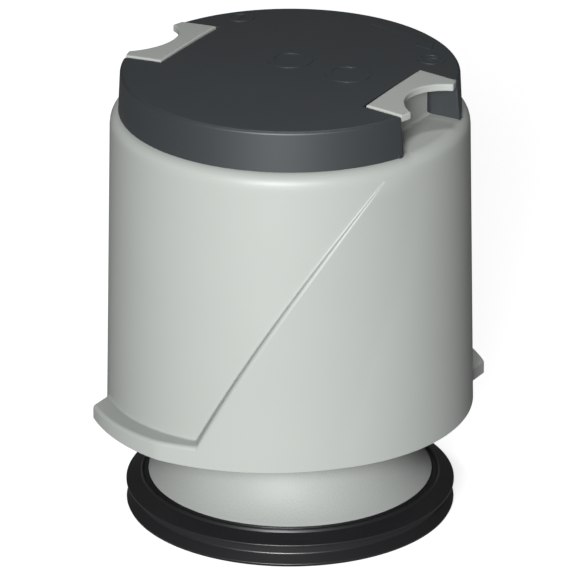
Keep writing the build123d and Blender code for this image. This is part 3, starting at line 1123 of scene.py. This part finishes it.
def barMark(x, y, length, width, turn):
    bm = bmesh.new()
    place = Matrix.Translation((x, y, 0)) @ Matrix.Rotation(math.radians(turn), 4, "Z")
    bmesh.ops.create_grid(bm, x_segments=1, y_segments=1, size=0.5)
    bmesh.ops.scale(bm, vec=(length, width, 1), verts=bm.verts)
    bmesh.ops.transform(bm, matrix=place, verts=bm.verts)
    return raisedMark(bm)


def arrowMark():
    m = marks
    outline = arcPoints((0, 0), m["arrowInner"], m["neck"], m["tail"], m["arrowSteps"])
    outline += arcPoints((0, 0), m["arrowOuter"], m["tail"], m["neck"], m["arrowSteps"])
    outline += [around(m["headOuter"], m["neck"]), around(*m["tip"]), around(m["headInner"], m["neck"])]
    bm = bmesh.new()
    flatFace(bm, outline)
    return raisedMark(bm)


def capMarks():
    m = marks
    pieces = [ringMark(centre, m["ringInner"], m["ringOuter"]) for centre in m["rings"]]
    pieces += [ringMark(centre, m["signInner"], m["signOuter"]) for centre in m["signs"]]
    pieces += [barMark(*bar) for bar in m["bars"]]
    pieces.append(arrowMark())
    return pieces


buildCap()
print("stage cap done")


# Background, floor, lamps and camera

surround = {"light": 0.045, "seen": 1.0}


def studio():
    # The camera sees a white surround, which gives the object only a little light.
    world = bpy.data.worlds.new("studio")
    bpy.context.scene.world = world
    world.use_nodes = True
    tree = world.node_tree
    back = tree.nodes["Background"]
    back.inputs["Color"].default_value = (1, 1, 1, 1)
    back.inputs["Strength"].default_value = surround["light"]
    white = {"Color": (1, 1, 1, 1), "Strength": surround["seen"]}
    seen = addNode(tree, "ShaderNodeBackground", (0, -200), white)
    path = addNode(tree, "ShaderNodeLightPath", (-300, 200))
    pick = addNode(tree, "ShaderNodeMixShader", (300, 0))
    link = tree.links.new
    link(path.outputs["Is Camera Ray"], pick.inputs[0])
    link(back.outputs[0], pick.inputs[1])
    link(seen.outputs[0], pick.inputs[2])
    link(pick.outputs[0], tree.nodes["World Output"].inputs["Surface"])


paleFloor = {"half": 3, "roughness": 0.9, "gloss": 0.1, "shade": 0.3, "seenShade": 0.6, "seenGlow": 0.8}


def floorMaterial():
    # Seen by the camera, the floor is as white as the surround and still holds a soft shadow.
    material = bpy.data.materials.new("paleFloor")
    material.use_nodes = True
    tree = material.node_tree
    shader = tree.nodes["Principled BSDF"]
    shader.inputs["Roughness"].default_value = paleFloor["roughness"]
    shader.inputs["Specular IOR Level"].default_value = paleFloor["gloss"]
    shader.inputs["Base Color"].default_value = (*[paleFloor["shade"]] * 3, 1)
    pale = {"Color": (*[paleFloor["seenShade"]] * 3, 1)}
    bright = addNode(tree, "ShaderNodeBsdfDiffuse", (0, -400), pale)
    glow = addNode(tree, "ShaderNodeEmission", (0, -600), {"Strength": paleFloor["seenGlow"]})
    both = addNode(tree, "ShaderNodeAddShader", (250, -500))
    path = addNode(tree, "ShaderNodeLightPath", (0, 300))
    pick = addNode(tree, "ShaderNodeMixShader", (450, 0))
    link = tree.links.new
    link(bright.outputs[0], both.inputs[0])
    link(glow.outputs[0], both.inputs[1])
    link(path.outputs["Is Camera Ray"], pick.inputs[0])
    link(shader.outputs[0], pick.inputs[1])
    link(both.outputs[0], pick.inputs[2])
    link(pick.outputs[0], tree.nodes["Material Output"].inputs["Surface"])
    return material


def floor():
    bm = bmesh.new()
    bmesh.ops.create_grid(bm, x_segments=1, y_segments=1, size=paleFloor["half"])
    obj = toObject(bm, "Floor")
    obj.data.materials.append(floorMaterial())


# Two soft lamps: the key stands in front a little below the camera, the other hangs overhead.
lamps = {
    "aim": (0.0, 0.0, 0.08), "distance": 3.0,
    "keyAside": -8.0, "keyRise": 20.0, "keySize": 1.1, "keyPower": 91.0,
    "topAside": 0.0, "topRise": 104.0, "topSize": 0.5, "topPower": 16.5,
}


def lamp(name):
    # A disk lamp: how far it stands aside of the front, and its height as an angle, in degrees.
    level = math.radians(lamps[name + "Rise"])
    turn = Matrix.Rotation(math.radians(lamps[name + "Aside"]), 3, "Z")
    away = turn @ Vector((0, -math.cos(level), math.sin(level)))
    place = Vector(lamps["aim"]) + away * lamps["distance"]
    data = bpy.data.lights.new(name, "AREA")
    data.shape = "DISK"
    data.size = lamps[name + "Size"]
    data.energy = lamps[name + "Power"]
    obj = bpy.data.objects.new(name, data)
    bpy.context.scene.collection.objects.link(obj)
    obj.location = place
    obj.rotation_euler = (Vector(lamps["aim"]) - place).to_track_quat("-Z", "Y").to_euler()


# The camera as fitted to the photo's circles: metres, degrees, and millimetres for lens and sensor.
cameraSet = {
    "elevation": 23.383, "target": (0.0, 0.0, 0.07596), "distance": 2.196,
    "lens": 413.7, "sensor": 36, "shift": -0.00284, "clipEnd": 20,
}


def camera():
    data = bpy.data.cameras.new("photoCamera")
    data.sensor_width = cameraSet["sensor"]
    data.lens = cameraSet["lens"]
    data.shift_x = cameraSet["shift"]
    data.clip_end = cameraSet["clipEnd"]
    obj = bpy.data.objects.new("photoCamera", data)
    bpy.context.scene.collection.objects.link(obj)
    rise = math.radians(cameraSet["elevation"])
    away = Vector((0, -math.cos(rise), math.sin(rise))) * cameraSet["distance"]
    obj.location = Vector(cameraSet["target"]) + away
    obj.rotation_euler = (-away).to_track_quat("-Z", "Y").to_euler()
    bpy.context.scene.camera = obj


studio()
lamp("key")
lamp("top")
floor()
camera()
bpy.context.scene.view_settings.view_transform = "Standard"
print("stage studio done")
